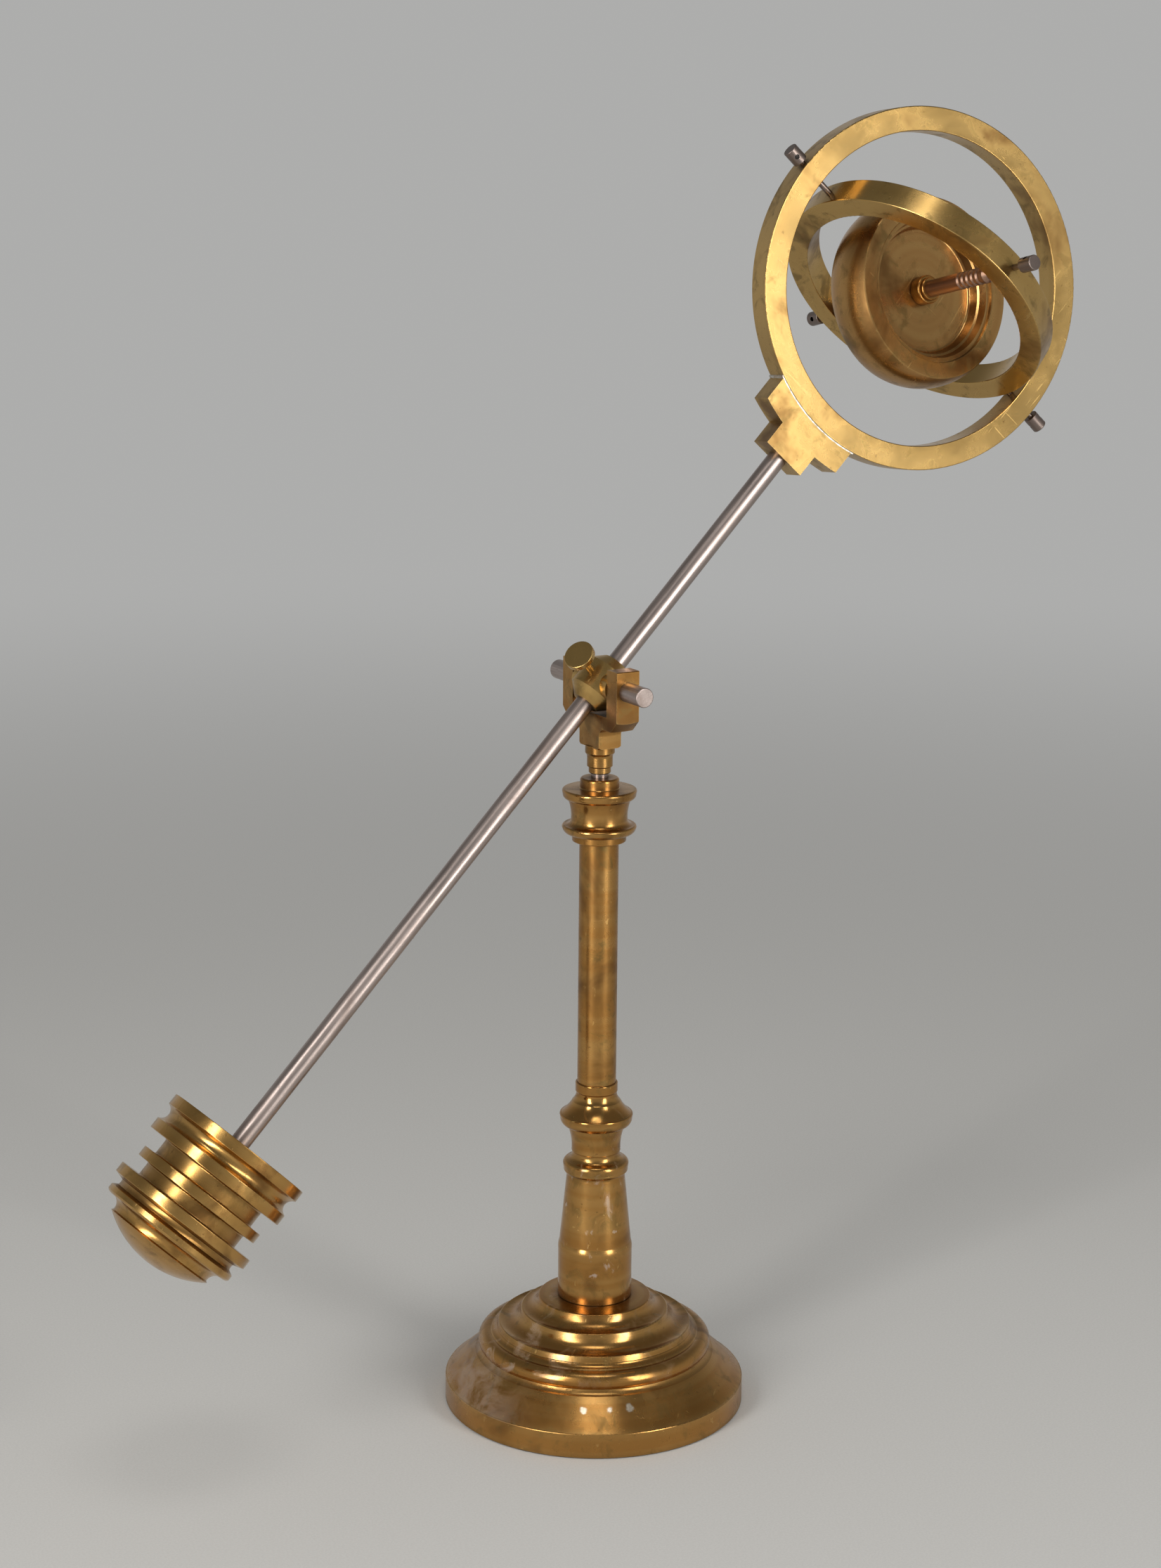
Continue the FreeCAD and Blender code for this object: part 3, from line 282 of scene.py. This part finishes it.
def brass(name, centre, axis, tarnish, polish, tone=GOLD, residue=None, chips=()):
    """Old lacquer-free brass: golden where rubbed, brown in patches, with painted shade in the corners
    that also stands for tarnish, and with tool marks.

    Tarnish goes from 0 to 1, and polish is the roughness of its brightest parts.
    """
    graph = Graph(bpy.data.materials.new(name))
    place = graph.local(centre, axis)
    turned = graph.lathe(place)
    clouds = graph.noise(place, *BRASS_CLOUDS)
    patchy = graph.noise(place, *BRASS_PATCHES)
    shaded_hollows = graph.shaded_hollows(BRASS_CORNER)
    marks = scratches(graph, place)

    bands = graph.ramp(graph.noise(turned, *TOOL_BANDS), 0.35, 0.65)
    stains = graph.ramp(clouds, 0.62 - 0.2 * tarnish, 0.76 - 0.15 * tarnish)
    spots = graph.ramp(graph.noise(place, *BRASS_SPOTS), 0.70, 0.76)
    colour = graph.tint(tone, (
        (bands, 0.25, PALE_GOLD),
        (stains, 0.8, BROWN),
        (graph.ramp(patchy, 0.52, 0.68), 0.3 + 0.6 * tarnish, OLIVE),
        # Painted shade: grooves and corners darkened towards brown, also standing for tarnish
        (shaded_hollows, 0.72, SHADE_AND_TARNISH_BROWN),
        (spots, 0.55, BROWN),
        (graph.edges(BRASS_EDGE), 0.35, PALE_GOLD),
        (marks, 0.25, PALE_GOLD),
    ))
    roughness = graph.total(graph.ramp(clouds, 0.3, 0.75, polish - 0.04, polish + 0.10), (
        (graph.ramp(patchy, 0.45, 0.8), 0.12),
        (shaded_hollows, 0.2),
        (marks, 0.12),
    ))
    metallic = 1.0

    if residue is not None:
        film = residue(graph, place)
        colour = graph.mix(film, colour, RESIDUE)
        roughness = graph.total(roughness, ((film, 0.3),))
        metallic = graph.math("SUBTRACT", 1.0, graph.product(film, 0.75))
    if chips:
        colour = graph.mix(patches(graph, chips, CHIP_REACH, CHIP_RAGGEDNESS), colour, WHITE_CHIP)

    normal = graph.bumps((
        (graph.noise(turned, *TOOL_RINGS), 0.00002, 0.35),
        (graph.noise(place, *BRASS_GRAIN), 0.00002, 0.15),
        (marks, -0.00001, 0.2),
        (clouds, 0.0003, 0.05),
    ))
    return graph.metal(colour, roughness, normal, metallic)


def steel(name, centre, axis, tone, stain, polish):
    """Drawn steel with a rosy cast, drawn lines along its length and dark freckles.

    Stain goes from 0 to 1, and polish is the roughness of its brightest parts.
    """
    graph = Graph(bpy.data.materials.new(name))
    place = graph.local(centre, axis)
    drawn = graph.noise(graph.stretch(place, DRAWN_STRETCH), *DRAWN_LINES)
    clouds = graph.noise(graph.stretch(place, STEEL_CLOUD_STRETCH), *STEEL_CLOUDS)
    freckles = graph.noise(graph.stretch(place, UPRIGHT_STRETCH), *STEEL_FRECKLES)
    rust = graph.ramp(freckles, 0.58, 0.74, 0.0, 0.2 + 0.5 * stain)

    colour = graph.tint(tone, (
        (graph.ramp(drawn, 0.35, 0.65), 0.3, STEEL_STAIN),
        (graph.ramp(clouds, 0.62 - 0.2 * stain, 0.80 - 0.1 * stain), 0.55, STEEL_STAIN),
        (rust, 1.0, STEEL_STAIN),
        # Painted shade: grooves and corners darkened towards brown, also standing for tarnish
        (graph.shaded_hollows(STEEL_CORNER), 0.65, SHADE_AND_TARNISH_BROWN),
        (graph.edges(STEEL_EDGE), 0.5, STEEL),
    ))
    roughness = graph.total(graph.ramp(clouds, 0.3, 0.75, polish, polish + 0.13), ((rust, 0.25),))
    normal = graph.bumps((
        (drawn, 0.00002, 0.3),
        (freckles, 0.00003, 0.35),
        (graph.noise(place, *STEEL_GRAIN), 0.00001, 0.3),
    ))
    return graph.metal(colour, roughness, normal)


def solder(name, centre, axis):
    """A dull silvery run of soft solder, lumpy along its edge."""
    graph = Graph(bpy.data.materials.new(name))
    lumps = graph.noise(graph.local(centre, axis), *SOLDER_LUMPS)
    colour = graph.mix(graph.ramp(lumps, 0.4, 0.7), SOLDER, SOLDER_STAIN)
    roughness = graph.ramp(lumps, 0.3, 0.7, 0.32, 0.5)
    return graph.metal(colour, roughness, graph.bumps(((lumps, 0.0003, 0.6),)))


# Dried polish and chips. The spots of the smears and chips are pixels of the photo.

SMEAR_PIXELS = ((844, 1753), (875, 1754), (843, 1815), (880, 1829), (814, 1676), (805, 1715))
SMEAR_REACH = 0.0045
SMEAR_RAGGEDNESS = 0.011
SMEAR_STRENGTH = 0.6
THIN_SMEAR_STRENGTH = 0.5
SMEARS_TOP = (0.118, 0.150)     # the thin smears fade out between these heights
CHIP_PIXELS = ((830, 2007), (867, 2006), (896, 2003))
CHIP_REACH = 0.0028
CHIP_RAGGEDNESS = 0.004
FLANGE_FILM_SIDE = (0.026, 0.060)       # how far to the photo's left the film sets in
FLANGE_FILM_FOOT = (0.0118, 0.0130)     # the film starts above the rim, between these heights
FLANGE_FILM_STRENGTH = 0.42
COVE_FILM_SIDE = (0.0, 0.05)
COVE_FILM_STRENGTH = 0.5


def places_seen(node, pixels):
    """The places on a piece that the camera sees at these pixels of the photo."""
    mesh = nodes[node].data
    surface = BVHTree.FromPolygons([corner.co for corner in mesh.vertices],
                                   [face.vertices for face in mesh.polygons])
    places = []
    for across, down in pixels:
        right = (across - PHOTO_WIDTH / 2) / FOCAL_PIXELS
        up = (PHOTO_HEIGHT / 2 - down) / FOCAL_PIXELS
        ray = CAMERA_FORWARD + right * CAMERA_RIGHT + up * CAMERA_UP
        places.append(surface.ray_cast(CAMERA_PLACE, ray)[0])
    return places


def patches(graph, centres, reach, raggedness):
    """1 within reach of any of the centres, with a ragged edge."""
    coordinates = graph.coordinates()
    ragged = graph.product(graph.noise(coordinates, *RAGGED_EDGE), raggedness)
    spots = []
    for centre in centres:
        distance = graph.vector("DISTANCE", coordinates, centre, "Value")
        spots.append(graph.ramp(graph.math("ADD", distance, ragged), reach * 1.5, reach * 1.1))
    return graph.highest(*spots)


def column_residue(graph, place):
    """Dried polish in smears over the lower column."""
    clouds = graph.noise(graph.stretch(place, UPRIGHT_STRETCH), *COLUMN_CLOUDS)
    low = graph.ramp(graph.dot(place, UP), *SMEARS_TOP, 1.0, 0.25)
    thin = graph.product(graph.ramp(clouds, 0.60, 0.70), low, THIN_SMEAR_STRENGTH)
    places = places_seen("lower_column", SMEAR_PIXELS)
    smears = patches(graph, places, SMEAR_REACH, SMEAR_RAGGEDNESS)
    return graph.highest(thin, graph.product(smears, SMEAR_STRENGTH))


def flange_residue(graph, place):
    """A cloudy film of dried polish on the flange's sloping face, at the photo's left."""
    side = graph.ramp(graph.dot(graph.coordinates(), -LEVEL_RIGHT), *FLANGE_FILM_SIDE)
    clouds = graph.ramp(graph.noise(place, *FLANGE_CLOUDS), 0.36, 0.60)
    slope = graph.ramp(graph.dot(place, UP), *FLANGE_FILM_FOOT)
    return graph.product(side, clouds, slope, FLANGE_FILM_STRENGTH)


def cove_residue(graph, place):
    """Dried polish left in the steps of the moulding, more of it at the photo's left."""
    side = graph.ramp(graph.dot(graph.coordinates(), -LEVEL_RIGHT), *COVE_FILM_SIDE, 0.25, 1.0)
    clouds = graph.ramp(graph.noise(place, *COVE_CLOUDS), 0.52, 0.70)
    return graph.product(side, clouds, COVE_FILM_STRENGTH)


# Each piece's surface: the material's name, the centre and axis of its tool marks, then for
# brass its tarnish, polish, tone, residue and chips, and for steel its tone, stain and polish

surfaces = {
    "base_flange": brass("brass_flange", BASE, UP, 0.35, 0.25, STAND_GOLD, flange_residue,
                         places_seen("base_flange", CHIP_PIXELS)),
    "base_moulding": brass("brass_moulding", BASE, UP, 0.40, 0.19, STAND_GOLD, cove_residue),
    "lower_column": brass("brass_lower_column", BASE, UP, 0.35, 0.17, STAND_GOLD, column_residue),
    "column_shaft": brass("brass_shaft", BASE, UP, 0.75, 0.26, STAND_GOLD),
    "capital": brass("brass_capital", BASE, UP, 0.45, 0.18, STAND_GOLD),
    "fork": brass("brass_fork", PIVOT, TRUNNION, 0.55, 0.20, STAND_GOLD),
    "pivot_block": brass("brass_block", PIVOT, ROD, 0.35, 0.25),
    "thumbscrew": brass("brass_thumbscrew", THUMB_PLACE, THUMB, 0.35, 0.25),
    "counterweight": brass("brass_counterweight", PIVOT, ROD, 0.25, 0.18, WEIGHT_GOLD),
    "ring_boss": brass("brass_boss", RING_CENTRE, RING_AXIS, 0.50, 0.25),
    "outer_ring": brass("brass_outer_ring", RING_CENTRE, RING_AXIS, 0.50, 0.24),
    "inner_ring": brass("brass_inner_ring", RING_CENTRE, INNER_AXIS, 0.60, 0.24),
    "rotor": brass("brass_rotor", RING_CENTRE, SPINDLE, 0.55, 0.23, ROTOR_GOLD),
    "rotor_hub_near": brass("brass_hub_near", RING_CENTRE, SPINDLE, 0.4, 0.24, STAND_GOLD),
    "rotor_hub_far": brass("brass_hub_far", RING_CENTRE, SPINDLE, 0.4, 0.24, STAND_GOLD),
    "solder_seam": solder("solder_seam", RING_CENTRE, RING_AXIS),
    "arm_rod": steel("steel_rod", PIVOT, ROD, STEEL, 0.45, 0.30),
    "tie_rod": steel("steel_tie_rod", BASE, UP, STEEL, 0.5, 0.33),
    "swivel_pin": steel("steel_swivel_pin", BASE, UP, STEEL, 0.2, 0.22),
    "trunnion_pin_near": steel("steel_trunnion_near", PIVOT, TRUNNION, STEEL, 0.5, 0.30),
    "trunnion_pin_far": steel("steel_trunnion_far", PIVOT, TRUNNION, STEEL, 0.5, 0.30),
    "rotor_spindle": steel("steel_spindle", RING_CENTRE, SPINDLE, SPINDLE_BRONZE, 0.4, 0.28),
}
for screw, axis in (("outer_screw_upper", RING_UP), ("outer_screw_lower", RING_UP),
                    ("inner_screw_near", SPINDLE), ("inner_screw_far", SPINDLE)):
    surfaces[screw] = steel("steel_" + screw, RING_CENTRE, axis, DARK_STEEL, 0.6, 0.30)

for node, material in surfaces.items():
    for slot in nodes[node].material_slots:
        slot.material = material


# Studio

BACKDROP = 0.42
BACKDROP_WARMTH = 0.985         # blue against red and green
BACKDROP_COLOUR = (BACKDROP, BACKDROP, BACKDROP * BACKDROP_WARMTH, 1.0)
WORLD_AS_LIGHT = 1.7            # the surround's strength for the rays that only carry light
DUSK_HEIGHT = (0.12, 0.70)      # it darkens between these slopes, the sine of the angle above level
ZENITH_LEVEL = 0.40

FLOOR_RADIUS = 12.0
FLOOR_SIDES = 96
FLOOR_DROP = 0.0002
FLOOR_FADE = (0.5, 2.6)         # the floor fades into the backdrop between these distances
PAPER_DARK = (0.54, 0.535, 0.52)
PAPER_PALE = (0.57, 0.565, 0.55)

LAMP_COLOUR = (1.0, 0.98, 0.95)
LAMP_MIDDLE = Vector((0, 0, 0.38))
LAMP_DISTANCE = 1.75
SIDE_LAMP_SIZE = (0.45, 1.5)
# Name, degrees round the stand from +X, rise above the middle, watts
SIDE_LAMPS = (("softbox_left", -159, 0.40, 24), ("softbox_right", -75, 0.36, 18))
TOP_LAMP_PLACE = Vector((-0.22, -0.42, 1.85))
TOP_LAMP_TARGET = Vector((-0.03, -0.05, 0.02))
TOP_LAMP_SIZE = (0.5, 0.4)
TOP_LAMP_POWER = 2.8


def make_floor():
    """A wide pale disc that fades into the backdrop's tone away from the object."""
    bpy.ops.mesh.primitive_circle_add(vertices=FLOOR_SIDES, radius=FLOOR_RADIUS, fill_type="NGON",
                                      location=(0, 0, -FLOOR_DROP))
    floor = bpy.context.object
    floor.name = "floor"
    graph = Graph(bpy.data.materials.new("floor_paper"))
    place = graph.coordinates()
    grain = graph.noise(place, *PAPER_GRAIN)
    paper = graph.add("ShaderNodeBsdfDiffuse")
    graph.link(graph.mix(graph.ramp(grain, 0.3, 0.7), PAPER_DARK, PAPER_PALE), paper.inputs["Color"])
    glow = graph.add("ShaderNodeEmission")
    graph.link(BACKDROP_COLOUR, glow.inputs["Color"])
    blend = graph.add("ShaderNodeMixShader")
    distance = graph.vector("LENGTH", place, None, "Value")
    graph.link(graph.ramp(distance, *FLOOR_FADE), blend.inputs[0])
    graph.link(paper.outputs[0], blend.inputs[1])
    graph.link(glow.outputs[0], blend.inputs[2])
    graph.link(blend.outputs[0], graph.output.inputs["Surface"])
    floor.data.materials.append(graph.owner)


def make_world():
    """A pale surround that darkens overhead and is brighter as a light than as it is seen."""
    world = bpy.data.worlds.new("studio")
    bpy.context.scene.world = world
    graph = Graph(world, "ShaderNodeOutputWorld")
    rays = graph.add("ShaderNodeLightPath").outputs
    seen = graph.math("ADD", rays["Is Camera Ray"], rays["Is Glossy Ray"])
    seen = graph.math("ADD", seen, rays["Is Transmission Ray"], clamp=True)
    level = graph.ramp(seen, 0.0, 1.0, WORLD_AS_LIGHT, 1.0)
    direction = graph.add("ShaderNodeTexCoord").outputs["Generated"]
    dusk = graph.ramp(graph.dot(direction, UP), *DUSK_HEIGHT, 1.0, ZENITH_LEVEL)
    background = graph.add("ShaderNodeBackground")
    graph.link(BACKDROP_COLOUR, background.inputs["Color"])
    graph.link(graph.product(level, dusk), background.inputs["Strength"])
    graph.link(background.outputs[0], graph.output.inputs["Surface"])


def softbox(name, place, target, size, power):
    """A rectangular lamp that faces its target."""
    data = bpy.data.lights.new(name, "AREA")
    data.shape = "RECTANGLE"
    data.size, data.size_y = size
    data.energy = power
    data.color = LAMP_COLOUR
    lamp = bpy.data.objects.new(name, data)
    lamp.location = place
    lamp.rotation_euler = (target - place).to_track_quat("-Z", "Y").to_euler()
    bpy.context.collection.objects.link(lamp)


def make_lights():
    """Two tall softboxes at the sides and a small one above."""
    for name, azimuth, rise, power in SIDE_LAMPS:
        turn = math.radians(azimuth)
        offset = Vector((math.cos(turn) * LAMP_DISTANCE, math.sin(turn) * LAMP_DISTANCE, rise))
        softbox(name, LAMP_MIDDLE + offset, LAMP_MIDDLE, SIDE_LAMP_SIZE, power)
    softbox("softbox_top", TOP_LAMP_PLACE, TOP_LAMP_TARGET, TOP_LAMP_SIZE, TOP_LAMP_POWER)


make_floor()
make_world()
make_lights()


def make_camera():
    """The photo's camera, with its lens given by the photo's height."""
    data = bpy.data.cameras.new("camera")
    data.sensor_fit = "VERTICAL"
    data.sensor_height = SENSOR_MILLIMETRES
    data.lens = FOCAL_PIXELS * SENSOR_MILLIMETRES / PHOTO_HEIGHT
    data.clip_start = NEAR_CLIP
    data.clip_end = FAR_CLIP
    camera = bpy.data.objects.new("camera", data)
    bpy.context.collection.objects.link(camera)
    turn = Matrix((CAMERA_RIGHT, CAMERA_UP, -CAMERA_FORWARD)).transposed()
    camera.matrix_world = Matrix.Translation(CAMERA_PLACE) @ turn.to_4x4()
    bpy.context.scene.camera = camera


make_camera()
bpy.context.scene.view_settings.view_transform = "Standard"
